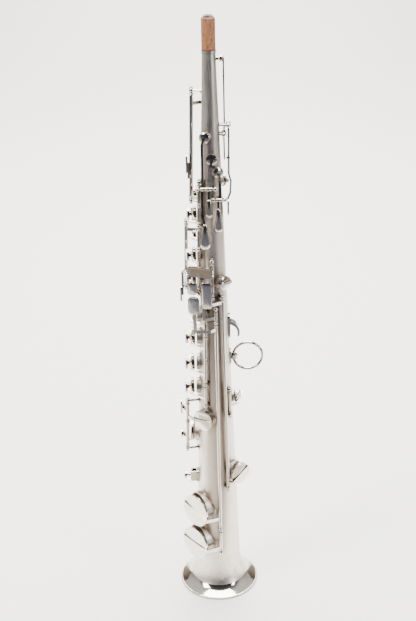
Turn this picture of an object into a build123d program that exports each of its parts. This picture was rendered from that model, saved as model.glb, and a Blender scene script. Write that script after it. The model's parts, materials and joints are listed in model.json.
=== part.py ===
"""A straight soprano saxophone of the 1920s, standing on its bell.

Frame: the origin is the centre of the bell mouth, on the plane the bell stands on, and +Z runs up
the tube to the mouthpiece end. -Y is the front, with the two key stacks. +Y is the player's side,
with the thumb hook, the neck-strap ring and the octave key. +X is the player's left.
Places round the tube are given as an angle from +X, in degrees, and a height above the bell.
Every key is drawn shut on its tone hole, then turned about its hinge to where it stands at rest.
"""

from build123d import *

import os
from math import cos, radians, sin

os.makedirs("parts", exist_ok=True)

# Tube and bell
TIP_TOP = 640.0
CORK_BOTTOM, CORK_TOP = 608.0, 638.0
CORK_RADIUS = 6.7
TIP_RADIUS = 4.8
TIP_BORE = 3.8
BODY_TOP = 606.0
TOP_DIAMETER = 13.1
TAPER = 0.0623  # growth of the outside diameter for each millimetre down the tube
WALL = 1.0
BELL_JOINT = 40.0
BELL_RADIUS = 44.2
RIM_HEIGHT = 2.4

# Tone holes, cups and pads
CHIMNEY_RISE = 2.6
CHIMNEY_WALL = 1.0
CUP_OVERLAP = 1.9  # how far a cup reaches beyond its tone hole
PAD_GAP = 0.3
PAD_PROUD = 0.8
RECESS = 1.9
CUP_WALL_HEIGHT = 2.1
CUP_HEIGHT = 3.1
CUP_WALL = 0.7
PAD_PLAY = 0.05

# Hinges
STEEL = 1.0
PLAY = 0.05  # running clearance on the radius
TUBE = 1.9
BALL = 2.4
POST_STEM = 1.3
POST_FOOT = 2.9
POST_ROOM = 2.8  # from the middle of a post to the end of the tube beside it

# Hinge lines that run up the tube: angle round the tube, and height of the hinge above its skin
BELL_LINE = (5, 5.0)
C_SHARP_LINE = (27, 5.0)
RIGHT_LINE = (-28, 4.8)
LEFT_LINE = (-52, 5.0)
LITTLE_FINGER_LINE = (-80, 12.5)
G_SHARP_LINE = (-4, 5.5)
FORK_LINE = (40, 5.0)
HIGH_E_LINE = (-115, 11.5)
SIDE_B_FLAT_LINE = (-120, 18.5)
SIDE_C_LINE = (-185, 5.5)

# Posts of each line, by height. The first and last hold the ends of the steel.
POSTS = {
    BELL_LINE: (54, 84, 335, 350),
    C_SHARP_LINE: (137, 362),
    RIGHT_LINE: (238, 263, 346),
    LEFT_LINE: (366, 437, 482),
    LITTLE_FINGER_LINE: (178, 237),
    G_SHARP_LINE: (362, 402),
    FORK_LINE: (226, 256),
    HIGH_E_LINE: (458, 569),
    SIDE_B_FLAT_LINE: (362, 434),
    SIDE_C_LINE: (372, 489),
}

# Keys hinged up the tube: hinge line, foot and head of the hinge tube, height of the cup's arm on it,
# angle, height and radius of the cup, and how far in degrees the cup stands open
KEYS = {
    "low_b_flat": (BELL_LINE, 56.8, 81.2, 60, -58, 62.5, 19.0, 12.0),
    "low_b": (BELL_LINE, 86.8, 332.2, 99, -58, 105, 18.6, 12.0),
    "low_c_sharp": (C_SHARP_LINE, 139.8, 359.2, 143.5, 60, 152, 12.0, 24.0),
    "low_c": (LITTLE_FINGER_LINE, 180.8, 212.0, 186, -106, 193, 11.5, 11.0),
    "low_e_flat": (LITTLE_FINGER_LINE, 212.6, 234.2, 218, -36, 220, 12.0, 0.0),
    "fork_e_flat": (FORK_LINE, 228.8, 253.2, 236, 78, 241, 7.5, 11.0),
    "d": (RIGHT_LINE, 240.8, 260.2, 246.5, -92, 252.5, 9.5, 7.0),
    "e": (RIGHT_LINE, 265.8, 291.0, 274, -92, 281, 9.5, 7.0),
    "f": (RIGHT_LINE, 291.6, 318.4, 304, -92, 311, 9.5, 7.0),
    "f_sharp": (RIGHT_LINE, 319.0, 343.2, 330, -92, 336, 9.0, 7.0),
    "g_sharp": (G_SHARP_LINE, 364.8, 399.2, 376, 38, 377, 7.5, 0.0),
    "g": (LEFT_LINE, 368.8, 391.0, 373, -92, 378, 8.5, 7.0),
    "a": (LEFT_LINE, 391.6, 412.4, 398, -92, 403, 8.0, 7.0),
    "bis": (LEFT_LINE, 413.0, 434.2, 422, -92, 424, 5.0, 7.0),
    "b": (LEFT_LINE, 439.8, 458.4, 443, -92, 447, 7.5, 7.0),
    "c": (LEFT_LINE, 459.0, 479.2, 466, -92, 468, 6.5, 7.0),
    "side_b_flat": (SIDE_B_FLAT_LINE, 364.8, 431.2, 425, -152, 425, 6.5, 0.0),
    "side_c": (SIDE_C_LINE, 374.8, 486.2, 478, -228, 478, 6.0, 0.0),
    "high_e": (HIGH_E_LINE, 460.8, 566.2, 556, -165, 556, 5.0, 0.0),
}
PEARL_KEYS = ("b", "a", "g", "f", "e", "d")
SMALL_KEYS = ("bis", "side_b_flat", "side_c", "high_e")
PEARL_RADIUS = 6.4

# Palm keys: place of the hinge pin, cup angle, cup height, and the finger plate's middle
PALM_HINGE_X = 17.0
PALM_UPPER_Z, PALM_LOWER_Z = 477.0, 466.0
PALM_CUP = 5.5
PALM_CUPS = {"high_d": (-25, 527), "high_e_flat": (2, 506), "high_f": (27, 492.5)}

# Octave key
VENT_Z, VENT_RADIUS = 600.0, 3.4
VENT_HINGE = (13.2, 528.0)
THUMB_HINGE = (17.6, 537.0)

# Strap ring, thumb hook and music-lyre socket
RING_Z, RING_RADIUS, RING_WIRE = 287.0, 15.4, 1.5
RING_Y = 35.0
HOOK_Z = 320.0
LYRE_Z = 140.0
LYRE_SOCKET = 5.0


def body_radius(z):
    """Outside radius of the conical tube at height z."""
    return 0.5 * (TOP_DIAMETER + TAPER * (BODY_TOP - z))


def outward(angle):
    """The level direction away from the tube at this angle."""
    return Vector(cos(radians(angle)), sin(radians(angle)), 0)


def around(angle, radius, z):
    """A point at this angle, radius and height."""
    return outward(angle) * radius + Vector(0, 0, z)


def facing(angle, radius, z):
    """A plane that faces straight out from the tube: its x runs round the tube and its y runs up."""
    return Plane(origin=around(angle, radius, z), x_dir=outward(angle + 90), z_dir=outward(angle))


def hinge_point(line, z):
    """The point at height z on a hinge line."""
    angle, rise = line
    return around(angle, body_radius(z) + rise, z)


def hinge_axis(line):
    """The axis of a hinge line, which lies along the slope of the tube."""
    slope = outward(line[0]) * (-TAPER / 2) + Vector(0, 0, 1)
    return Axis(hinge_point(line, 0), slope)


def seat_radius(z):
    """Distance from the middle of the tube to the rim of a tone hole."""
    return body_radius(z) + CHIMNEY_RISE


def save(piece, name):
    """Name a finished piece and write it."""
    piece.label = name
    export_step(piece, f"parts/{name}.step")


def rod(line, low, high, radius, mode=Mode.ADD):
    """A round rod along a hinge line."""
    pin(hinge_point(line, low), hinge_point(line, high), radius, mode=mode)


def pin(start, end, radius, mode=Mode.ADD):
    """A round pin between two points."""
    with BuildSketch(Plane(origin=start, z_dir=end - start)) as section:
        Circle(radius)
    extrude(section.sketch, amount=(end - start).length, mode=mode)


def bar(start, end, width, thickness, face):
    """A flat bar between two points, with its broad side turned to face."""
    run = end - start
    overrun = run.normalized() * (thickness / 2)
    with BuildSketch(Plane(origin=start - overrun, x_dir=face.cross(run), z_dir=run)) as section:
        Rectangle(width, thickness)
    extrude(section.sketch, amount=run.length + thickness)


def ball(centre, radius):
    """A ball at a point."""
    with Locations(centre):
        Sphere(radius)


def plate(centre, face, width, height, thickness, corner):
    """A finger plate with rounded corners and a softened front edge."""
    up = Vector(0, 0, 1)
    with BuildSketch(Plane(origin=centre, x_dir=up.cross(face), z_dir=face)) as outline:
        RectangleRounded(width, height, corner)
    extrude(outline.sketch, amount=thickness / 2, both=True)


def cup(place, radius):
    """A domed pad cup on a plane that passes along the foot of its wall."""
    with BuildSketch(Plane(origin=place.origin, x_dir=place.x_dir, z_dir=-place.y_dir)) as half:
        with BuildLine():
            Polyline(
                (0, RECESS),
                (radius - CUP_WALL, RECESS),
                (radius - CUP_WALL, 0),
                (radius, 0),
                (radius, CUP_WALL_HEIGHT),
            )
            ThreePointArc(
                (radius, CUP_WALL_HEIGHT),
                (radius * 0.72, CUP_WALL_HEIGHT + 0.62),
                (0, CUP_HEIGHT),
            )
            Line((0, CUP_HEIGHT), (0, RECESS))
        make_face()
    revolve(half.sketch, axis=Axis(place.origin, place.z_dir))


def cup_place(angle, z):
    """The plane along the foot of a shut cup's wall."""
    return facing(angle, seat_radius(z) + PAD_GAP + PAD_PROUD, z)


def cup_arm(place, radius, hinge, width):
    """A rib across the top of a cup and an arm from it to the hinge."""
    top = place.origin + place.z_dir * (CUP_HEIGHT + 0.15)
    across = hinge - top
    across = (across - place.z_dir * across.dot(place.z_dir)).normalized()
    near = top + across * (radius + 0.6)
    bar(top - across * (radius * 0.86), near, width, 1.7, place.z_dir)
    bar(near, hinge, width, 1.7, place.z_dir)


def make_pad(place, radius):
    """The leather-covered pad that fills a cup."""
    with BuildPart() as pad:
        with BuildSketch(place.offset(-PAD_PROUD)):
            Circle(radius - CUP_WALL - PAD_PLAY)
        extrude(amount=PAD_PROUD + RECESS)
        fillet(pad.edges().group_by(Axis(place.origin, place.z_dir))[0], 0.35)
    return pad.part


def opening_side(line, place):
    """+1 if a turn to the left about the hinge line lifts the cup off its hole, else -1."""
    axis = hinge_axis(line)
    lift = axis.direction.cross(place.origin - hinge_point(line, place.origin.Z)).dot(place.z_dir)
    return 1 if lift > 0 else -1


def rest_turn(name):
    """How far a key turns from shut to where it stands."""
    line, _, _, _, angle, z, _, stands = KEYS[name]
    return stands * opening_side(line, cup_place(angle, z))


def stand(piece, name):
    """Turn a piece of a key from shut to where it stands."""
    return piece.rotate(hinge_axis(KEYS[name][0]), rest_turn(name))


def pearl_place(name):
    """The plane under a finger pearl, over the middle of its cup."""
    _, _, _, _, angle, z, _, _ = KEYS[name]
    return cup_place(angle, z).offset(CUP_HEIGHT + 3.4)


def make_cup_side(name):
    """A key's cup, rib and arm, drawn shut, with a pearl holder if the key has one."""
    line, _, _, arm_z, angle, z, radius, _ = KEYS[name]
    place = cup_place(angle, z)
    width = 5.0 if radius > 15 else 3.0
    with BuildPart() as side:
        cup(place, radius)
        cup_arm(place, radius, hinge_point(line, arm_z), width)
        if name in PEARL_KEYS:
            holder = pearl_place(name)
            with BuildSketch(place.offset(CUP_HEIGHT)):
                Circle(2.4)
            extrude(amount=3.6)
            with BuildSketch(holder):
                Circle(PEARL_RADIUS + 0.8)
            extrude(amount=2.2)
            with BuildSketch(holder.offset(1.2)):
                Circle(PEARL_RADIUS)
            extrude(amount=1.0, mode=Mode.SUBTRACT)
    return side.part


def make_pearl(name):
    """A nacre disc with a low crown."""
    holder = pearl_place(name).offset(1.2)
    with BuildPart() as pearl:
        with BuildSketch(holder):
            Circle(PEARL_RADIUS - PAD_PLAY)
        extrude(amount=1.7)
        fillet(pearl.edges().group_by(Axis(holder.origin, holder.z_dir))[-1], 0.7)
    return stand(pearl.part, name)


def touch_on_line(line, arm_z, middle, face, size):
    """A finger plate on an arm from a hinge line, size being width, height and corner."""
    width, height, corner = size
    root = hinge_point(line, arm_z)
    behind = middle - face * 1.4
    knee = Vector(behind.X, behind.Y, arm_z)
    bar(root, knee, 3.4, 2.0, face)
    if abs(middle.Z - arm_z) > 1:
        bar(knee, behind, 3.4, 2.0, face)
    plate(middle, face, width, height, 1.8, corner)


def add_touches(name):
    """The finger plates that belong to a key, in the place where the key stands."""
    if name == "low_b_flat":
        face = outward(-20)
        rod(BELL_LINE, 51.4, 352.6, STEEL)
        rod(BELL_LINE, 337.8, 347.2, TUBE)
        way = [hinge_point(BELL_LINE, 340.5), Vector(23.8, -9.5, 340.5), Vector(22.6, -10.5, 358)]
        way += [Vector(22.8, -12, 368), Vector(24.6, -20, 376)]
        for start, end in zip(way, way[1:]):
            bar(start, end, 3.4, 2.0, face)
        plate(Vector(25.6, -21.5, 376.5), face, 10, 14, 1.8, 3)
    elif name == "low_b":
        face, elbow, knee = outward(-20), Vector(25, -3, 328), Vector(25.4, -19.4, 328)
        bar(hinge_point(BELL_LINE, 328), elbow, 3.4, 2.0, face)
        bar(elbow, knee, 3.4, 2.0, outward(0))
        bar(knee, Vector(25.0, -20, 352), 3.4, 2.0, face)
        plate(Vector(26.2, -20.5, 357.5), face, 12, 19, 1.8, 4)
    elif name == "low_c_sharp":
        touch_on_line(C_SHARP_LINE, 356.8, Vector(27.8, -7.0, 369), outward(-12), (11, 29, 3))
    elif name == "low_c":
        middle = Vector(-3, -37.5, 192)
        touch_on_line(LITTLE_FINGER_LINE, 192, middle, outward(-92), (10, 10, 4.9))
    elif name == "low_e_flat":
        middle = Vector(-4, -37, 225)
        touch_on_line(LITTLE_FINGER_LINE, 225, middle, outward(-92), (9, 18, 4.4))
    elif name == "g_sharp":
        touch_on_line(G_SHARP_LINE, 392.5, Vector(23.4, -13, 392.5), outward(-20), (27, 11, 2.5))
    elif name == "side_b_flat":
        touch_on_line(SIDE_B_FLAT_LINE, 380, Vector(-8, -33, 357), outward(-100), (8, 18, 3))
    elif name == "side_c":
        touch_on_line(SIDE_C_LINE, 384, around(-164, 25, 392), outward(-164), (8, 22, 3))
    elif name == "high_e":
        touch_on_line(HIGH_E_LINE, 484, Vector(-4, -23.5, 497), outward(-95), (8, 20, 3))


def make_key(name):
    """A whole key: hinge tube, arm, cup and finger plates, with a clear bore for its steel."""
    line, low, high, _, _, _, _, _ = KEYS[name]
    with BuildPart() as key:
        add(stand(make_cup_side(name), name))
        rod(line, low, high, TUBE)
        add_touches(name)
        if name != "low_b_flat":
            rod(line, low - 1, high + 1, STEEL + PLAY, mode=Mode.SUBTRACT)
    return key.part


# The tube, with a hole through its wall under every cup
def tone_holes():
    """Angle, height and radius of every tone hole."""
    for _, _, _, _, angle, z, radius, _ in KEYS.values():
        yield angle, z, radius - CUP_OVERLAP
    for angle, z in PALM_CUPS.values():
        yield angle, z, PALM_CUP - CUP_OVERLAP


with BuildPart() as outer_cone:
    with BuildSketch(Plane.XZ):
        with BuildLine():
            Polyline(
                (0, BELL_JOINT),
                (body_radius(BELL_JOINT), BELL_JOINT),
                (body_radius(BODY_TOP), BODY_TOP),
                (0, BODY_TOP),
                close=True,
            )
        make_face()
    revolve(axis=Axis.Z)

with BuildPart() as body_tube:
    add(outer_cone.part)
    with BuildSketch(Plane.XY.offset(BODY_TOP)):
        Circle(TIP_RADIUS)
    extrude(amount=TIP_TOP - BODY_TOP)
    with BuildSketch(Plane.XY.offset(BODY_TOP)):
        Circle(CORK_RADIUS + 0.5)
    extrude(amount=CORK_BOTTOM - BODY_TOP)
    with BuildSketch(Plane.XZ):
        with BuildLine():
            Polyline(
                (0, BELL_JOINT - 1),
                (body_radius(BELL_JOINT - 1) - WALL, BELL_JOINT - 1),
                (body_radius(BODY_TOP) - WALL - 0.6, BODY_TOP - 4),
                (TIP_BORE, TIP_TOP - 25),
                (TIP_BORE, TIP_TOP + 1),
                (0, TIP_TOP + 1),
                close=True,
            )
        make_face()
    revolve(axis=Axis.Z, mode=Mode.SUBTRACT)
    for angle, z, radius in tone_holes():
        with BuildSketch(facing(angle, 0, z)):
            Circle(radius)
        extrude(amount=seat_radius(z), mode=Mode.SUBTRACT)
    with BuildSketch(facing(90, 0, VENT_Z)):
        Circle(0.9)
    extrude(amount=seat_radius(VENT_Z), mode=Mode.SUBTRACT)
save(body_tube.part, "body_tube")

with BuildPart() as tone_hole_chimneys:
    for angle, z, radius in tone_holes():
        with BuildSketch(facing(angle, 0, z)):
            Circle(radius + CHIMNEY_WALL)
        extrude(amount=seat_radius(z))
    add(outer_cone.part, mode=Mode.SUBTRACT)
    for angle, z, radius in tone_holes():
        with BuildSketch(facing(angle, 0, z)):
            Circle(radius)
        extrude(amount=seat_radius(z), mode=Mode.SUBTRACT)
save(tone_hole_chimneys.part, "tone_hole_chimneys")

with BuildPart() as bell_flare:
    joint, mouth = body_radius(BELL_JOINT), BELL_RADIUS - 1.2
    fall, spread = (TAPER / 2, -1), (1, -0.5)
    back = ((-1, 0.5), (-TAPER / 2, 1))
    with BuildSketch(Plane.XZ):
        with BuildLine():
            Spline(
                (joint, BELL_JOINT),
                (26.4, 22),
                (32.0, 9.8),
                (mouth, RIM_HEIGHT),
                tangents=(fall, spread),
            )
            Line((mouth, RIM_HEIGHT), (mouth - 0.5, RIM_HEIGHT - WALL))
            Spline(
                (mouth - 0.5, RIM_HEIGHT - WALL),
                (31.2, 9.2),
                (25.4, 21.8),
                (joint - WALL, BELL_JOINT),
                tangents=back,
            )
            Line((joint - WALL, BELL_JOINT), (joint, BELL_JOINT))
        make_face()
    revolve(axis=Axis.Z)
save(bell_flare.part, "bell_flare")

with BuildPart() as bell_rim:
    with BuildSketch(Plane.XZ):
        with Locations((BELL_RADIUS - 1.6, RIM_HEIGHT / 2)):
            RectangleRounded(3.2, RIM_HEIGHT, 1.0)
    revolve(axis=Axis.Z)
    add(bell_flare.part, mode=Mode.SUBTRACT)
save(bell_rim.part.solids().sort_by(SortBy.VOLUME)[-1], "bell_rim")

with BuildPart() as tenon_cork:
    with BuildSketch(Plane.XY.offset(CORK_BOTTOM)):
        Circle(CORK_RADIUS)
        Circle(TIP_RADIUS, mode=Mode.SUBTRACT)
    extrude(amount=CORK_TOP - CORK_BOTTOM)
    rims = tenon_cork.edges().filter_by(GeomType.CIRCLE).sort_by(SortBy.RADIUS)
    chamfer(rims[-2:], 0.8)
save(tenon_cork.part, "tenon_cork")

# Posts and hinge steels
with BuildPart() as hinge_posts:
    for line, heights in POSTS.items():
        angle = line[0]
        for z in heights:
            foot = body_radius(z) - 1.5
            with BuildSketch(facing(angle, foot, z)):
                Circle(POST_FOOT)
            extrude(amount=1.5 + 0.9)
            pin(around(angle, foot, z), hinge_point(line, z), POST_STEM)
            ball(hinge_point(line, z), BALL)
    add(outer_cone.part, mode=Mode.SUBTRACT)
    for line, heights in POSTS.items():
        bore = STEEL + PLAY if line == BELL_LINE else STEEL
        rod(line, heights[0] - 3, heights[-1] + 3, bore, mode=Mode.SUBTRACT)
save(hinge_posts.part, "hinge_posts")

with BuildPart() as needle_springs:
    for line, heights in POSTS.items():
        angle, rise = line
        for z in heights[:-1]:
            low = (angle, min(rise - 3.0, 2.0))
            rod(low, z + POST_STEM - 0.2, z + 13, 0.35)
    add(hinge_posts.part, mode=Mode.SUBTRACT)
    add(tone_hole_chimneys.part, mode=Mode.SUBTRACT)
save(needle_springs.part, "needle_springs")

# Keys hinged up the tube
for name, (line, low, high, arm_z, angle, z, radius, stands) in KEYS.items():
    pad = stand(make_pad(cup_place(angle, z), radius), name)
    key = make_key(name)
    if name in SMALL_KEYS:
        save(Compound(children=[key, pad]), f"{name}_key")
    else:
        save(key, f"{name}_key")
        save(pad, f"{name}_pad")
    if name in PEARL_KEYS:
        save(make_pearl(name), f"{name}_pearl")

# Palm keys, on two level pins across the player's left
PALM_PINS = {PALM_UPPER_Z: (-13.8, 3.7), PALM_LOWER_Z: (1.6, 13.1)}
# Hinge height, ends of the hub, where the cup's arm stands on it, the foot of the lower arm, and the
# middle and size of the finger plate
PALM_LEVERS = {
    "high_d": (PALM_UPPER_Z, (-10.4, -6.8), -8.6, (-9.3, 450), (22.2, -7.2, 430), (11.0, 27.0)),
    "high_e_flat": (PALM_UPPER_Z, (-6.3, 0.9), -0.6, (-2.7, 470), (20.6, -2.7, 458.5), (7.4, 19.0)),
    "high_f": (PALM_LOWER_Z, (4.4, 9.6), 8.2, (6.4, 460), (20.2, 6.4, 446), (8.4, 25.0)),
}


def finger_plate(middle, width, height):
    """A drop-shaped finger plate, narrow where its lever joins it and round below."""
    with BuildSketch(Plane(origin=middle, x_dir=(0, 1, 0), z_dir=(1, 0, 0))) as outline:
        with Locations((0, -height / 2 + width / 2)):
            Circle(width / 2)
        with BuildLine():
            Polyline(
                (-width / 2, -height / 2 + width / 2),
                (-1.6, height / 2),
                (1.6, height / 2),
                (width / 2, -height / 2 + width / 2),
                close=True,
            )
        make_face()
    extrude(outline.sketch, amount=0.9, both=True)


def make_palm_key(name):
    """A palm lever: cup arm above the hinge pin, finger plate below it."""
    pin_z, (hub_left, hub_right), arm_y, (run_y, run_z), middle, (width, height) = PALM_LEVERS[name]
    angle, z = PALM_CUPS[name]
    place = cup_place(angle, z)
    plate_x, plate_y, plate_z = middle
    out = Vector(1, 0, 0)
    top = place.origin + place.z_dir * (CUP_HEIGHT + 0.15)
    collar = Vector(top.X + 0.4, arm_y, z - PALM_CUP - 2)
    plate_top = Vector(plate_x, plate_y, plate_z + height / 2 - 1)
    with BuildPart() as key:
        cup(place, PALM_CUP)
        bar(top, collar, 2.4, 1.6, place.z_dir)
        bar(collar, Vector(PALM_HINGE_X, arm_y, pin_z), 2.4, 1.8, out)
        pin(Vector(PALM_HINGE_X, hub_left, pin_z), Vector(PALM_HINGE_X, hub_right, pin_z), TUBE)
        bar(Vector(PALM_HINGE_X, run_y, pin_z), Vector(plate_x - 1, run_y, run_z), 2.2, 1.8, out)
        bar(Vector(plate_x - 1, run_y, run_z), plate_top, 2.2, 1.8, out)
        finger_plate(Vector(plate_x, plate_y, plate_z), width, height)
        pin(
            Vector(PALM_HINGE_X, hub_left - 1, pin_z),
            Vector(PALM_HINGE_X, hub_right + 1, pin_z),
            STEEL + PLAY,
            mode=Mode.SUBTRACT,
        )
    return key.part


for name, (angle, z) in PALM_CUPS.items():
    pad = make_pad(cup_place(angle, z), PALM_CUP)
    save(Compound(children=[make_palm_key(name), pad]), f"{name}_key")

# Octave key, up the player's side of the tube
BACK = Vector(0, 1, 0)


def across_pin(hinge, half, radius, mode=Mode.ADD):
    """A level pin across the back of the tube, hinge being its distance out and its height."""
    y, z = hinge
    pin(Vector(-half, y, z), Vector(half, y, z), radius, mode=mode)


with BuildPart() as octave_vent_key:
    place = cup_place(90, VENT_Z)
    cup(place, VENT_RADIUS)
    y, z = VENT_HINGE
    head = Vector(0, place.origin.Y + CUP_HEIGHT + 0.15, VENT_Z)
    bar(head, Vector(0, y + 0.6, z + 12), 2.6, 1.5, BACK)
    bar(Vector(0, y + 0.6, z + 12), Vector(0, y, z), 3.0, 1.5, BACK)
    bar(Vector(0, y, z), Vector(0, y + 0.2, 503), 3.0, 1.5, BACK)
    across_pin(VENT_HINGE, 1.9, TUBE)
    across_pin(VENT_HINGE, 4, STEEL + PLAY, mode=Mode.SUBTRACT)
vent_pad = make_pad(cup_place(90, VENT_Z), VENT_RADIUS)
save(Compound(children=[octave_vent_key.part, vent_pad]), "octave_vent_key")

with BuildPart() as octave_thumb_key:
    y, z = THUMB_HINGE
    across_pin(THUMB_HINGE, 1.9, TUBE)
    points = [(y, z), (17.8, 530), (17.4, 488), (19.4, 480), (18.6, 468), (15.8, 461)]
    for (y1, z1), (y2, z2) in zip(points, points[1:]):
        bar(Vector(0, y1, z1), Vector(0, y2, z2), 3.4, 1.8, BACK)
    plate(Vector(0, 16.4, 453), BACK, 11, 18, 1.8, 5)
    pin(Vector(0, 15.2, 504), Vector(0, 18.9, 504), 1.7)
    across_pin(THUMB_HINGE, 4, STEEL + PLAY, mode=Mode.SUBTRACT)
save(octave_thumb_key.part, "octave_thumb_key")

LEVEL_PINS = [
    (Vector(PALM_HINGE_X, left, z), Vector(PALM_HINGE_X, right, z))
    for z, (left, right) in PALM_PINS.items()
] + [(Vector(-4.6, y, z), Vector(4.6, y, z)) for y, z in (VENT_HINGE, THUMB_HINGE)]

with BuildPart() as lever_saddles:
    for ends in LEVEL_PINS:
        for end in ends:
            pin(Vector(end.X * 0.5, end.Y * 0.5, end.Z), end, POST_STEM)
            ball(end, BALL)
    add(outer_cone.part, mode=Mode.SUBTRACT)
    for left, right in LEVEL_PINS:
        reach = (right - left).normalized() * 4
        pin(left - reach, right + reach, STEEL, mode=Mode.SUBTRACT)
save(lever_saddles.part, "lever_saddles")

with BuildPart() as hinge_steels:
    for line, heights in POSTS.items():
        if line != BELL_LINE:
            rod(line, heights[0] - 2.6, heights[-1] + 2.6, STEEL)
    for left, right in LEVEL_PINS:
        reach = (right - left).normalized() * 2.6
        pin(left - reach, right + reach, STEEL)
save(hinge_steels.part, "hinge_steels")

with BuildPart() as octave_vent_pip:
    with BuildSketch(facing(90, 0, VENT_Z)):
        Circle(2.0)
        Circle(0.9, mode=Mode.SUBTRACT)
    extrude(amount=seat_radius(VENT_Z))
    add(outer_cone.part, mode=Mode.SUBTRACT)
save(octave_vent_pip.part, "octave_vent_pip")

# Thumb hook, strap ring and its saddle
with BuildPart() as thumb_hook:
    skin = body_radius(HOOK_Z)
    with BuildSketch(facing(90, skin - 1.5, HOOK_Z + 3)):
        RectangleRounded(11, 26, 3)
    extrude(amount=1.5 + 1.4)
    with BuildSketch(Plane.YZ):
        with BuildLine():
            Polyline(
                (skin, HOOK_Z + 8),
                (skin + 2, HOOK_Z + 8.6),
            )
            ThreePointArc(
                (skin + 2, HOOK_Z + 8.6), (skin + 9.4, HOOK_Z + 3), (skin + 10.4, HOOK_Z - 8)
            )
            Line((skin + 10.4, HOOK_Z - 8), (skin + 8.4, HOOK_Z - 8))
            ThreePointArc(
                (skin + 8.4, HOOK_Z - 8), (skin + 7.2, HOOK_Z + 1.4), (skin, HOOK_Z + 5.8)
            )
            Line((skin, HOOK_Z + 5.8), (skin, HOOK_Z + 8))
        make_face()
    extrude(amount=4.6, both=True)
    add(outer_cone.part, mode=Mode.SUBTRACT)
save(thumb_hook.part, "thumb_hook")

EYE_Y = RING_Y - RING_RADIUS
with BuildPart() as strap_saddle:
    with BuildSketch(facing(90, body_radius(RING_Z) - 1.5, RING_Z)):
        RectangleRounded(9, 16, 2.5)
    extrude(amount=1.5 + 1.0)
    with BuildSketch(Plane.XY.offset(RING_Z - 2)):
        with Locations((0, EYE_Y + 0.9)):
            Circle(4.1)
    extrude(amount=4)
    add(outer_cone.part, mode=Mode.SUBTRACT)
    with BuildSketch(Plane.XY.offset(RING_Z - 2)):
        with Locations((0, EYE_Y + 0.6)):
            Circle(2.4)
    extrude(amount=4, mode=Mode.SUBTRACT)
save(strap_saddle.part, "strap_saddle")

with BuildPart() as strap_ring:
    with BuildSketch(Plane(origin=(0, RING_Y - RING_RADIUS, RING_Z), z_dir=(0, 0, 1))):
        Circle(RING_WIRE)
    revolve(axis=Axis((0, RING_Y, RING_Z), (1, 0, 0)))
save(strap_ring.part, "strap_ring")

# Socket for a music lyre, with its clamping screw, on the front
with BuildPart() as lyre_socket:
    skin = body_radius(LYRE_Z)
    with BuildSketch(facing(-90, skin - 2, LYRE_Z)):
        RectangleRounded(11, 14, 2)
    extrude(amount=2 + 1.2)
    with BuildSketch(facing(-90, skin, LYRE_Z)):
        RectangleRounded(9.6, 12, 1)
    extrude(amount=8.4)
    add(outer_cone.part, mode=Mode.SUBTRACT)
    with BuildSketch(Plane(origin=(0, -skin - 4.6, LYRE_Z - 8))):
        Rectangle(LYRE_SOCKET, LYRE_SOCKET * 0.9)
    extrude(amount=16, mode=Mode.SUBTRACT)
    with BuildSketch(facing(-90, skin + 5, LYRE_Z)):
        Circle(1.5)
    extrude(amount=6, mode=Mode.SUBTRACT)
save(lyre_socket.part, "lyre_socket")

with BuildPart() as lyre_screw:
    with BuildSketch(facing(-90, skin + 7.0, LYRE_Z)):
        Circle(1.45)
    extrude(amount=6)
    with BuildSketch(facing(-90, skin + 13.0, LYRE_Z)):
        Circle(4.4)
    extrude(amount=2.4)
    fillet(lyre_screw.edges().group_by(Axis.Y)[0], 0.5)
save(lyre_screw.part, "lyre_screw")

print("parts written:", len(os.listdir("parts")))
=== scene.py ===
"""The looks of a straight soprano saxophone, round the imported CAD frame.

Metres, in the CAD frame: the origin is the centre of the bell mouth on the table, +Z runs up the
tube, -Y is the front with the key stacks, +Y the player's side and +X the player's left, which is
the side the camera sees.
"""

import json
from math import cos, pi, radians, sin

import bmesh
import bpy
from mathutils import Matrix, Vector


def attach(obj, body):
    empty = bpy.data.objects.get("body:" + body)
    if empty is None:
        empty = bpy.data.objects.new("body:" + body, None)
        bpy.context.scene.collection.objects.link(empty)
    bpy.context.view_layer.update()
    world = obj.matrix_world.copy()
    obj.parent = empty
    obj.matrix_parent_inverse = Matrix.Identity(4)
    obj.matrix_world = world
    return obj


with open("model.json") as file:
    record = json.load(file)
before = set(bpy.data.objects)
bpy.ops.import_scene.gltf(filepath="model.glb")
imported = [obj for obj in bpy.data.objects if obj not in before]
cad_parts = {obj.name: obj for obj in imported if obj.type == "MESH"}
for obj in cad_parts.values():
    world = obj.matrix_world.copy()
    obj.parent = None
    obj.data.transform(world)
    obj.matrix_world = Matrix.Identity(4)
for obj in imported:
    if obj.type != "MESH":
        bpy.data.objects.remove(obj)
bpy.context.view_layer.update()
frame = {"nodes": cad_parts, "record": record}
nodes = frame["nodes"]
record = frame["record"]
MM = 0.001

# Camera: distance out from the instrument, sideways place, height, tilt down and roll
CAMERA_OUT, CAMERA_SIDE, CAMERA_HEIGHT = 1.0, -0.0061, 0.7855
CAMERA_TILT, CAMERA_ROLL = radians(24.0), radians(1.32)
LENS, SENSOR = 60.87, 36.0

# Bell: the top edge of its polished band, and where its engraving fades in and out
BAND_TOP, BAND_BLUR = 0.0105, 0.0003
ENGRAVING_IN, ENGRAVING_OUT = (0.013, 0.016), (0.034, 0.044)

# The rest of these are millimetres. Tube: radius at its top, growth of the radius for each
# millimetre down, and height of the top
TUBE_TOP_RADIUS, TUBE_TAPER, TUBE_TOP = 6.55, 0.03115, 606

# Finger plates: their flat face out from the plate's middle, the edge left round a swelling face,
# and the rings of that face
PLATE_FACE, PLATE_EDGE, DOME_RINGS = 0.88, 0.7, 12

# Hinge screws: head radius, and how far past the end of the hinge line the head sits
SCREW_RADIUS, SCREW_SEAT = 1.5, 2.5

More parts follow.
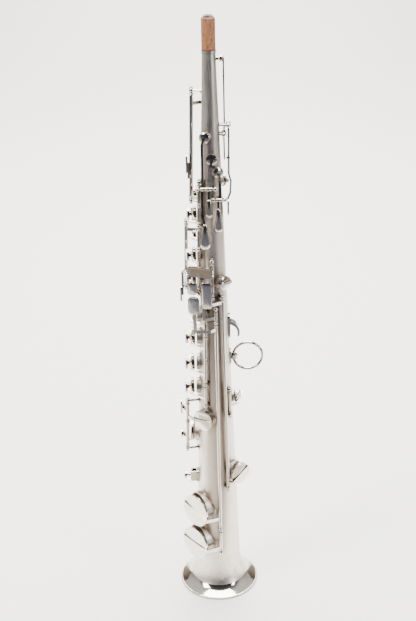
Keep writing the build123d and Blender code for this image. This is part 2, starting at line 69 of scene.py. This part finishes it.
# Hinge collar as turned: distance from the hinge line and along it, and its gap to the tube's end
COLLAR = [
    (1.86, 0.0),
    (2.2, 0.08),
    (2.36, 0.4),
    (2.36, 0.9),
    (2.2, 1.22),
    (1.98, 1.3),
    (1.98, 1.55),
    (2.12, 1.7),
    (2.12, 1.95),
    (1.86, 2.1),
]
COLLAR_GAP = 0.05


# Node helpers
def new_material(name):
    """A node material and its Principled shader."""
    material = bpy.data.materials.new(name)
    material.use_nodes = True
    shader = material.node_tree.nodes["Principled BSDF"]
    return material, shader


class Tree:
    """Short calls for building the node tree of a material or a world."""

    def __init__(self, owner, coordinates="Object"):
        self.nodes = owner.node_tree.nodes
        self.links = owner.node_tree.links
        self.place = self.nodes.new("ShaderNodeTexCoord").outputs[coordinates]

    def link(self, source, target):
        self.links.new(source, target)

    def noise(self, scale, detail=4.0, roughness=0.55, stretch=None, distortion=0.0):
        node = self.nodes.new("ShaderNodeTexNoise")
        node.inputs["Scale"].default_value = scale
        node.inputs["Detail"].default_value = detail
        node.inputs["Roughness"].default_value = roughness
        node.inputs["Distortion"].default_value = distortion
        self.link(self.stretched(stretch), node.inputs["Vector"])
        return node.outputs["Fac"]

    def cells(self, scale, feature="F1", stretch=None):
        node = self.nodes.new("ShaderNodeTexVoronoi")
        node.feature = feature
        node.inputs["Scale"].default_value = scale
        self.link(self.stretched(stretch), node.inputs["Vector"])
        return node.outputs["Distance"]

    def stretched(self, stretch):
        if stretch is None:
            return self.place
        node = self.nodes.new("ShaderNodeMapping")
        node.inputs["Scale"].default_value = stretch
        self.link(self.place, node.inputs["Vector"])
        return node.outputs["Vector"]

    def ramp(self, value, stops):
        node = self.nodes.new("ShaderNodeValToRGB")
        elements = node.color_ramp.elements
        while len(elements) < len(stops):
            elements.new(0.5)
        for element, (position, colour) in zip(elements, stops):
            element.position = position
            element.color = (*colour, 1.0)
        self.link(value, node.inputs["Fac"])
        return node.outputs["Color"]

    def span(self, value, low, high, out_low, out_high):
        node = self.nodes.new("ShaderNodeMapRange")
        ends = {"From Min": low, "From Max": high, "To Min": out_low, "To Max": out_high}
        for name, number in ends.items():
            node.inputs[name].default_value = number
        self.link(value, node.inputs["Value"])
        return node.outputs["Result"]

    def maths(self, operation, first, second):
        node = self.nodes.new("ShaderNodeMath")
        node.operation = operation
        for socket, value in zip(node.inputs, (first, second)):
            if isinstance(value, (int, float)):
                socket.default_value = value
            else:
                self.link(value, socket)
        return node.outputs["Value"]

    def blend(self, factor, first, second, mode="MIX"):
        node = self.nodes.new("ShaderNodeMix")
        node.data_type = "RGBA"
        node.blend_type = mode
        given = (("Factor", "VALUE", factor), ("A", "RGBA", first), ("B", "RGBA", second))
        for name, kind, value in given:
            socket = next(s for s in node.inputs if s.name == name and s.type == kind)
            if isinstance(value, (int, float)):
                socket.default_value = value
            elif isinstance(value, tuple):
                socket.default_value = (*value, 1.0)
            else:
                self.link(value, socket)
        return next(s for s in node.outputs if s.type == "RGBA")

    def along(self, axis):
        node = self.nodes.new("ShaderNodeSeparateXYZ")
        self.link(self.place, node.inputs["Vector"])
        return node.outputs[axis]

    def bump(self, shader, height, strength, distance):
        node = self.nodes.new("ShaderNodeBump")
        node.inputs["Strength"].default_value = strength
        node.inputs["Distance"].default_value = distance
        self.link(height, node.inputs["Height"])
        self.link(node.outputs["Normal"], shader.inputs["Normal"])


# Materials
def silver(
    name, roughness, grain, tone=(0.76, 0.71, 0.64), tarnish=(0.45, 0.35, 0.24), banded=False
):
    """Silver plate, sandblasted or polished, with tarnish, fine rubbing marks and brown crevices.

    The crevice brown, where parts come close together, is partly tarnish and partly painted shade.
    Banded silver also has the bell's engraved web and its polished rim band, by height alone.
    """
    material, shader = new_material(name)
    tree = Tree(material)
    shader.inputs["Metallic"].default_value = 1.0
    cloud = tree.noise(22.0, 5.0, 0.6)
    patches = tree.noise(90.0, 4.0, 0.7, distortion=0.6)
    stain = tree.span(tree.maths("MULTIPLY", cloud, patches), 0.26, 0.52, 0.0, 0.34)
    rub = tree.noise(420.0, 3.0, 0.6, stretch=(1.0, 1.0, 0.18))
    rough = tree.span(rub, 0.3, 0.7, roughness * 0.82, roughness * 1.18)
    rough = tree.maths("ADD", rough, tree.maths("MULTIPLY", stain, 0.22))
    # Painted shade and tarnish: ambient occlusion turns the silver brown where parts come close
    # together
    tarnish_and_shade_ao = tree.nodes.new("ShaderNodeAmbientOcclusion")
    tarnish_and_shade_ao.samples = 8
    tarnish_and_shade_ao.inputs["Distance"].default_value = 0.010
    tarnish_and_shade = tree.span(tarnish_and_shade_ao.outputs["AO"], 0.30, 0.95, 0.90, 0.0)
    worn = tree.blend(stain, tone, tarnish)
    # The brown of the crevices, partly tarnish and partly painted shade
    skin = tree.blend(tarnish_and_shade, worn, (0.15, 0.09, 0.045))
    blast = tree.noise(5200.0, 2.0, 0.5)
    if banded:
        height = tree.along("Z")
        edge = tree.cells(150.0, "DISTANCE_TO_EDGE", stretch=(1.0, 1.0, 0.8))
        edge = tree.span(edge, 0.0, 0.05, 1.0, 0.0)
        veins = tree.span(tree.cells(520.0, "DISTANCE_TO_EDGE"), 0.0, 0.03, 0.45, 0.0)
        low = tree.span(height, *ENGRAVING_IN, 0.0, 1.0)
        high = tree.span(height, *ENGRAVING_OUT, 1.0, 0.0)
        engraved = tree.maths("MAXIMUM", edge, veins)
        engraved = tree.maths("MULTIPLY", engraved, tree.maths("MULTIPLY", low, high))
        skin = tree.blend(tree.maths("MULTIPLY", engraved, 0.35), skin, (0.30, 0.22, 0.14))
        satin = tree.span(height, BAND_TOP - BAND_BLUR, BAND_TOP + BAND_BLUR, 0.0, 1.0)
        rough = tree.maths("MAXIMUM", tree.maths("MULTIPLY", rough, satin), 0.09)
        blast = tree.maths("MULTIPLY", blast, satin)
    tree.link(skin, shader.inputs["Base Color"])
    tree.link(rough, shader.inputs["Roughness"])
    tree.bump(shader, blast, grain, 0.00004)
    return material


def pad_leather():
    """Kid leather over felt, a little grubby, with fine pores."""
    material, shader = new_material("pad leather")
    tree = Tree(material)
    shader.inputs["Roughness"].default_value = 0.62
    shader.inputs["Sheen Weight"].default_value = 0.15
    stops = [(0.25, (0.20, 0.085, 0.025)), (0.75, (0.46, 0.25, 0.10))]
    tree.link(tree.ramp(tree.noise(180.0, 6.0, 0.65), stops), shader.inputs["Base Color"])
    tree.bump(shader, tree.cells(2600.0), 0.45, 0.0001)
    return material


def nacre():
    """Mother of pearl: pale layers that shift between cream, rose and green."""
    material, shader = new_material("nacre")
    tree = Tree(material)
    shader.inputs["Roughness"].default_value = 0.16
    shader.inputs["Coat Weight"].default_value = 0.6
    shader.inputs["Coat Roughness"].default_value = 0.06
    layers = tree.noise(260.0, 5.0, 0.6, stretch=(1.0, 1.0, 0.35), distortion=1.6)
    stops = [
        (0.25, (0.62, 0.66, 0.60)),
        (0.45, (0.86, 0.85, 0.80)),
        (0.6, (0.90, 0.80, 0.78)),
        (0.8, (0.80, 0.86, 0.84)),
    ]
    tree.link(tree.ramp(layers, stops), shader.inputs["Base Color"])
    tree.bump(shader, layers, 0.05, 0.0001)
    return material


def cork():
    """Waxed cork with dark lenticels and a rubbed, slightly glossy skin."""
    material, shader = new_material("cork")
    tree = Tree(material)
    grain = tree.noise(330.0, 7.0, 0.7)
    stops = [(0.2, (0.10, 0.035, 0.015)), (0.5, (0.27, 0.11, 0.045)), (0.8, (0.42, 0.20, 0.09))]
    pits = tree.cells(260.0, stretch=(1.0, 1.0, 0.55))
    dark = tree.span(pits, 0.12, 0.30, 0.85, 0.0)
    colour = tree.blend(dark, tree.ramp(grain, stops), (0.07, 0.03, 0.015))
    tree.link(colour, shader.inputs["Base Color"])
    tree.link(tree.span(grain, 0.3, 0.7, 0.38, 0.62), shader.inputs["Roughness"])
    tree.bump(shader, tree.maths("MINIMUM", pits, tree.maths("MULTIPLY", grain, 0.6)), 0.55, 0.0004)
    return material


def steel():
    """Turned steel with a faint blue-grey bloom."""
    material, shader = new_material("steel")
    tree = Tree(material)
    shader.inputs["Metallic"].default_value = 1.0
    stops = [(0.3, (0.36, 0.37, 0.40)), (0.7, (0.60, 0.60, 0.60))]
    tree.link(tree.ramp(tree.noise(300.0, 4.0), stops), shader.inputs["Base Color"])
    tree.link(tree.span(tree.noise(900.0), 0.3, 0.7, 0.22, 0.4), shader.inputs["Roughness"])
    return material


MATERIALS = {
    "satin_silver": silver("satin silver", 0.36, 0.5, banded=True),
    "polished_silver": silver("polished silver", 0.13, 0.04, tone=(0.80, 0.755, 0.69)),
    "pad_leather": pad_leather(),
    "nacre": nacre(),
    "cork": cork(),
    "steel": steel(),
    "aged_silver": silver(
        "aged silver", 0.50, 0.3, tone=(0.34, 0.28, 0.22), tarnish=(0.13, 0.09, 0.06)
    ),
}
slots = {entry["node"]: entry["material_slot"] for entry in record["subparts"]}
for name, thing in nodes.items():
    thing.data.materials.clear()
    thing.data.materials.append(MATERIALS[slots[name]])


def mesh_object(name, points, faces, material):
    """A mesh in metres with its faces turned outwards, smooth but for its many-sided ends."""
    mesh = bpy.data.meshes.new(name)
    mesh.from_pydata(points, [], faces)
    turned = bmesh.new()
    turned.from_mesh(mesh)
    bmesh.ops.recalc_face_normals(turned, faces=turned.faces)
    turned.to_mesh(mesh)
    turned.free()
    for face in mesh.polygons:
        face.use_smooth = len(face.vertices) <= 4
    mesh.materials.append(material)
    thing = bpy.data.objects.new(name, mesh)
    bpy.context.scene.collection.objects.link(thing)
    return thing


# Finer pieces, in millimetres, that ride on the CAD bodies
def piece(name, points, faces, material, body):
    """A mesh that goes with a body and takes a record slot's finish."""
    metres = [tuple(MM * part for part in point) for point in points]
    thing = mesh_object(name, metres, faces, MATERIALS[material])
    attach(thing, body)


def wall(first, rows, steps, closed=False):
    """The quads between rows of points that each go once round, from point number first.

    A closed wall also joins its last row to its first.
    """
    faces = []
    for row in range(rows if closed else rows - 1):
        a, b = first + row * steps, first + (row + 1) % rows * steps
        for k in range(steps):
            after = (k + 1) % steps
            faces.append((a + k, a + after, b + after, b + k))
    return faces


def circle(centre, side, other, radius, steps):
    """Points evenly round a centre, in the plane of the directions side and other."""
    turns = [2 * pi * k / steps for k in range(steps)]
    return [centre + side * (radius * cos(t)) + other * (radius * sin(t)) for t in turns]


def dome(name, middle, face_angle, outline, rise, body, finish):
    """A finger plate's swelling face: rings of its outline that shrink as they rise to a tip."""
    middle, up = Vector(middle), Vector((0, 0, 1))
    out = Vector((cos(face_angle), sin(face_angle), 0))
    across = up.cross(out)
    points = []
    for ring in range(DOME_RINGS):
        turn = pi / 2 * ring / DOME_RINGS
        lifted = middle + out * (PLATE_FACE + rise * sin(turn))
        points += [lifted + across * (a * cos(turn)) + up * (b * cos(turn)) for a, b in outline]
    points.append(middle + out * (PLATE_FACE + rise))
    count, tip = len(outline), len(points) - 1
    faces = [tuple(reversed(range(count)))] + wall(0, DOME_RINGS, count)
    last = tip - count
    faces += [(last + k, last + (k + 1) % count, tip) for k in range(count)]
    piece(name, points, faces, finish, body)


def spoon(name, middle, width, height, rise, body):
    """The face of a palm key's drop-shaped finger plate, round below and narrow above."""
    width, height, tip = width - PLATE_EDGE, height - PLATE_EDGE, 1.5
    round_end = (width - height) / 2
    reach = height / 2 - round_end
    left = [(-tip - (width / 2 - tip) * t / 9, reach * (1 - t / 9)) for t in range(9)]
    below = [(-width / 2 * cos(pi * t / 28), -width / 2 * sin(pi * t / 28)) for t in range(29)]
    right = [(-across, up) for across, up in reversed(left)]
    x, y, z = middle
    outline = left + below + right
    dome(name, (x, y, z + round_end), 0, outline, rise, body, "polished_silver")


def crown(name, middle, face_angle, size, rise, body, finish):
    """The face of an oblong finger plate, size being its width, height and corner radius."""
    width, height, corner = size
    outline = []
    for quarter, (left, foot) in enumerate(((1, 1), (-1, 1), (-1, -1), (1, -1))):
        for step in range(10):
            turn = pi / 2 * (quarter + step / 9)
            across = left * (width / 2 - corner) + corner * cos(turn)
            outline.append((across, foot * (height / 2 - corner) + corner * sin(turn)))
    dome(name, middle, face_angle, outline, rise, body, finish)


def knurled_inlay(name, middle, face_angle, width, height, body):
    """A raised, cross-cut grip let into a finger plate, seen as a height over a grid."""
    out = Vector((cos(face_angle), sin(face_angle), 0))
    across = Vector((0, 0, 1)).cross(out)
    columns, rows = 120, 40
    corner, bevel, pitch = 2.2, 0.7, 1.5
    seat, land, ridge, sunk = 0.86, 0.16, 0.24, 0.06
    points, faces = [], []
    for i in range(columns + 1):
        for j in range(rows + 1):
            u, v = width * (i / columns - 0.5), height * (j / rows - 0.5)
            du, dv = max(abs(u) - width / 2 + corner, 0), max(abs(v) - height / 2 + corner, 0)
            inside = corner - (du * du + dv * dv) ** 0.5
            edge = min(max(inside / bevel, 0), 1)
            wave = abs(((u + v) / pitch) % 1 - 0.5) + abs(((u - v) / pitch) % 1 - 0.5)
            lift = seat + edge * (land + ridge * wave)
            points.append(Vector(middle) + across * u + Vector((0, 0, v)) + out * lift)
    for i in range(columns):
        for j in range(rows):
            first = i * (rows + 1) + j
            faces.append((first, first + rows + 1, first + rows + 2, first + 1))
    loop = [i * (rows + 1) for i in range(columns + 1)]
    loop += [columns * (rows + 1) + j for j in range(1, rows + 1)]
    loop += [i * (rows + 1) + rows for i in range(columns - 1, -1, -1)]
    loop += list(range(rows - 1, 0, -1))
    under = len(points)
    points += [points[k] - out * sunk for k in loop]
    size = len(loop)
    for k in range(size):
        after = (k + 1) % size
        faces.append((loop[k], loop[after], under + after, under + k))
    faces.append(tuple(range(under, under + size)))
    piece(name, points, faces, "aged_silver", body)


def hinge_place(angle, rise, z):
    """A point on a hinge line that follows the tube's taper, from its angle round the tube."""
    reach = TUBE_TOP_RADIUS + TUBE_TAPER * (TUBE_TOP - z) + rise
    return Vector((reach * cos(radians(angle)), reach * sin(radians(angle)), z))


def screw_heads(name, places, radius, body):
    """Slotted cheese heads: each is a turned base with two half discs standing on it."""
    points, faces, steps, arc, slot = [], [], 28, 14, 0.2
    base = [(0.86, 0.0), (1.0, 0.12), (1.0, 0.42), (0.93, 0.5)]
    for place, axis in places:
        side = axis.orthogonal().normalized()
        other = axis.cross(side)
        first = len(points)
        for keep, lift in base:
            points += circle(place + axis * lift, side, other, radius * keep, steps)
        faces += wall(first, len(base), steps)
        faces.append(tuple(reversed(range(first, first + steps))))
        faces.append(tuple(range(first + 3 * steps, first + 4 * steps)))
        for half in (1, -1):
            start, ring = len(points), arc + 1
            for lift, keep in ((0.48, 0.93), (0.72, 0.93), (0.84, 0.80)):
                for k in range(ring):
                    turn, reach = pi * k / arc, radius * keep
                    up = min(max(reach * sin(turn), 0.0) + slot, reach)
                    spread = side * (reach * 0.96 * cos(turn))
                    points.append(place + axis * lift + spread + other * (half * up))
            faces += wall(start, 3, ring)
            faces.append(tuple(range(start, start + ring)))
            faces.append(tuple(range(start + 2 * ring, start + 3 * ring)))
    piece(name, points, faces, "steel", body)


def collars(name, angle, rise, low, high, body):
    """The turned rings at both ends of a key's hinge tube."""
    bottom, top = hinge_place(angle, rise, low), hinge_place(angle, rise, high)
    axis = (top - bottom).normalized()
    side = axis.orthogonal().normalized()
    other = axis.cross(side)
    points, faces, steps = [], [], 32
    for start, along in ((bottom + axis * COLLAR_GAP, axis), (top - axis * COLLAR_GAP, -axis)):
        first = len(points)
        for reach, lift in COLLAR:
            points += circle(start + along * lift, side, other, reach, steps)
        faces += wall(first, len(COLLAR), steps, closed=True)
    piece(name, points, faces, "polished_silver", body)


spoon("high_d_spoon", (22.2, -7.2, 430), 11.0, 27.0, 2.6, "high_d_lever")
spoon("high_e_flat_spoon", (20.6, -2.7, 458.5), 7.4, 19.0, 2.2, "high_e_flat_lever")
spoon("high_f_spoon", (20.2, 6.4, 446), 8.4, 25.0, 2.4, "high_f_lever")
crown(
    "low_b_crown",
    (26.2, -20.5, 357.5),
    radians(-20),
    (11.2, 18.2, 3.7),
    1.0,
    "low_b_lever",
    "steel",
)
crown(
    "low_b_flat_crown",
    (25.6, -21.5, 376.5),
    radians(-20),
    (9.2, 13.2, 2.7),
    0.9,
    "low_b_flat_lever",
    "polished_silver",
)
crown(
    "low_c_sharp_crown",
    (27.8, -7.0, 369),
    radians(-12),
    (10.2, 28.2, 2.7),
    1.1,
    "low_c_sharp_lever",
    "polished_silver",
)
knurled_inlay("g_sharp_inlay", (23.4, -13, 392.5), radians(-20), 24.4, 8.6, "g_sharp_lever")

# Angle round the tube, rise off it and end heights of each hinge line that stands on the body
HINGE_ENDS = [
    (27, 5.0, 137, 362),
    (-28, 4.8, 238, 346),
    (-52, 5.0, 366, 482),
    (-80, 12.5, 178, 237),
    (-4, 5.5, 362, 402),
    (40, 5.0, 226, 256),
    (-115, 11.5, 458, 569),
    (-120, 18.5, 362, 434),
    (-185, 5.5, 372, 489),
]
ends = []
for angle, rise, low, high in HINGE_ENDS:
    bottom, top = hinge_place(angle, rise, low), hinge_place(angle, rise, high)
    along = (top - bottom).normalized()
    ends += [(bottom - along * SCREW_SEAT, -along), (top + along * SCREW_SEAT, along)]
screw_heads("hinge_screws", ends, SCREW_RADIUS, "instrument_body")

# Angle round the tube, rise off it, foot and head of each key's hinge tube that runs up the body
HINGE_TUBES = {
    "low_b_flat": (5, 5.0, 56.8, 81.2),
    "low_b": (5, 5.0, 86.8, 332.2),
    "low_c_sharp": (27, 5.0, 139.8, 359.2),
    "low_c": (-80, 12.5, 180.8, 212.0),
    "low_e_flat": (-80, 12.5, 212.6, 234.2),
    "fork_e_flat": (40, 5.0, 228.8, 253.2),
    "d": (-28, 4.8, 240.8, 260.2),
    "e": (-28, 4.8, 265.8, 291.0),
    "f": (-28, 4.8, 291.6, 318.4),
    "f_sharp": (-28, 4.8, 319.0, 343.2),
    "g_sharp": (-4, 5.5, 364.8, 399.2),
    "g": (-52, 5.0, 368.8, 391.0),
    "a": (-52, 5.0, 391.6, 412.4),
    "bis": (-52, 5.0, 413.0, 434.2),
    "b": (-52, 5.0, 439.8, 458.4),
    "c": (-52, 5.0, 459.0, 479.2),
    "side_b_flat": (-120, 18.5, 364.8, 431.2),
    "side_c": (-185, 5.5, 374.8, 486.2),
    "high_e": (-115, 11.5, 460.8, 566.2),
}
for key, (angle, rise, low, high) in HINGE_TUBES.items():
    collars(f"{key}_collars", angle, rise, low, high, f"{key}_lever")


# Stage
def stage_mesh(name, points, faces, colour, roughness):
    """A part of the studio in one plain colour."""
    material, shader = new_material(name)
    shader.inputs["Base Color"].default_value = (*colour, 1.0)
    shader.inputs["Roughness"].default_value = roughness
    thing = mesh_object(name, points, faces, material)
    return thing


def table(half_width, colour):
    """The plain pale table that the instrument stands on, with a back that curves up."""
    front, back, curve, top = 2.2, -2.6, 0.8, 2.6
    profile = [(front, 0.0), (back, 0.0)]
    for step in range(1, 9):
        turn = step * pi / 16
        profile.append((back - curve * sin(turn), curve - curve * cos(turn)))
    profile.append((back - curve, top))
    points = [(x, y, z) for x, z in profile for y in (-half_width, half_width)]
    faces = [(k, k + 1, k + 3, k + 2) for k in range(0, len(points) - 2, 2)]
    stage_mesh("table", points, faces, colour, 0.7)


def reflection_only_card(name, corners, colour):
    """A dark card that paints reflections: hidden from the camera, it casts no shadow and only the
    silver's reflections see it.
    """
    card = stage_mesh(name, corners, [(0, 1, 2, 3)], colour, 0.9)
    card.visible_camera = card.visible_diffuse = card.visible_shadow = False


def lying_reflection_card(name, x, y, colour):
    """A card for painted reflections that lies on the table between two places in x and in y."""
    lift = 0.004
    corners = [(x[0], y[0], lift), (x[1], y[0], lift), (x[1], y[1], lift), (x[0], y[1], lift)]
    reflection_only_card(name, corners, colour)


def area_light(name, place, aim, size, power, colour):
    """A rectangular soft light."""
    data = bpy.data.lights.new(name, "AREA")
    data.shape = "RECTANGLE"
    data.size, data.size_y = size
    data.energy = power
    data.color = colour
    thing = bpy.data.objects.new(name, data)
    thing.location = place
    thing.rotation_euler = (Vector(aim) - Vector(place)).to_track_quat("-Z", "Y").to_euler()
    bpy.context.scene.collection.objects.link(thing)


def world_light():
    """A pale room, bright above and below, whose dark side behind the camera the silver mirrors."""
    world = bpy.data.worlds.new("studio")
    world.use_nodes = True
    tree = Tree(world, "Generated")
    by_height = [
        (0.0, (0.9, 0.88, 0.85)),
        (0.47, (0.75, 0.72, 0.68)),
        (0.60, (0.55, 0.53, 0.50)),
        (0.85, (1.0, 1.0, 1.0)),
    ]
    towards_front = [
        (0.50, (1.0, 1.0, 1.0)),
        (0.60, (0.36, 0.31, 0.26)),
        (0.75, (0.06, 0.065, 0.08)),
        (1.0, (0.04, 0.045, 0.06)),
    ]
    up = tree.ramp(tree.span(tree.along("Z"), -1.0, 1.0, 0.0, 1.0), by_height)
    out = tree.ramp(tree.span(tree.along("X"), -1.0, 1.0, 0.0, 1.0), towards_front)
    background = tree.nodes["Background"]
    tree.link(tree.blend(1.0, up, out, "MULTIPLY"), background.inputs["Color"])
    background.inputs["Strength"].default_value = 0.9
    bpy.context.scene.world = world


def camera():
    """The viewpoint: from the player's left, a little above the mouthpiece end."""
    forward = Vector((-cos(CAMERA_TILT), 0, -sin(CAMERA_TILT)))
    right = Vector((0, 1, 0))
    up = right.cross(forward)
    turned_right = right * cos(CAMERA_ROLL) - up * sin(CAMERA_ROLL)
    turned_up = up * cos(CAMERA_ROLL) + right * sin(CAMERA_ROLL)
    data = bpy.data.cameras.new("camera")
    data.lens, data.sensor_width = LENS, SENSOR
    thing = bpy.data.objects.new("camera", data)
    axes = Matrix((turned_right, turned_up, -forward)).transposed()
    place = Matrix.Translation((CAMERA_OUT, CAMERA_SIDE, CAMERA_HEIGHT))
    thing.matrix_world = place @ axes.to_4x4()
    bpy.context.scene.collection.objects.link(thing)
    bpy.context.scene.camera = thing


table(3.0, (0.90, 0.885, 0.865))
# Painted reflections: dark cards that the camera does not see, put there only to darken the
# silver's reflections
lying_reflection_card("front card", (0.10, 0.55), (-0.6, 0.6), (0.34, 0.31, 0.27))
lying_reflection_card("dark card", (0.55, 2.2), (-3.0, 3.0), (0.045, 0.05, 0.07))
lying_reflection_card("left card", (-2.5, 0.55), (-3.0, -0.75), (0.22, 0.19, 0.16))
lying_reflection_card("right card", (-2.5, 0.55), (0.75, 3.0), (0.22, 0.19, 0.16))
reflection_only_card(
    "back card",
    [(-2.7, -3, 0.3), (-2.7, 3, 0.3), (-2.7, 3, 2.4), (-2.7, -3, 2.4)],
    (0.20, 0.165, 0.135),
)
world_light()
area_light("key light", (0.9, -1.5, 1.7), (0, 0, 0.3), (0.7, 1.1), 45.0, (1.0, 0.97, 0.93))
area_light("fill light", (1.0, 1.6, 1.0), (0, 0, 0.3), (0.25, 1.3), 16.0, (0.93, 0.96, 1.0))
area_light("top light", (-0.2, 0.0, 2.3), (-0.4, 0, 0.2), (1.8, 1.8), 165.0, (1.0, 0.985, 0.96))
area_light("back light", (-2.0, 0.0, 2.0), (-2.1, 0, 0), (1.8, 2.4), 150.0, (1.0, 0.98, 0.95))
camera()
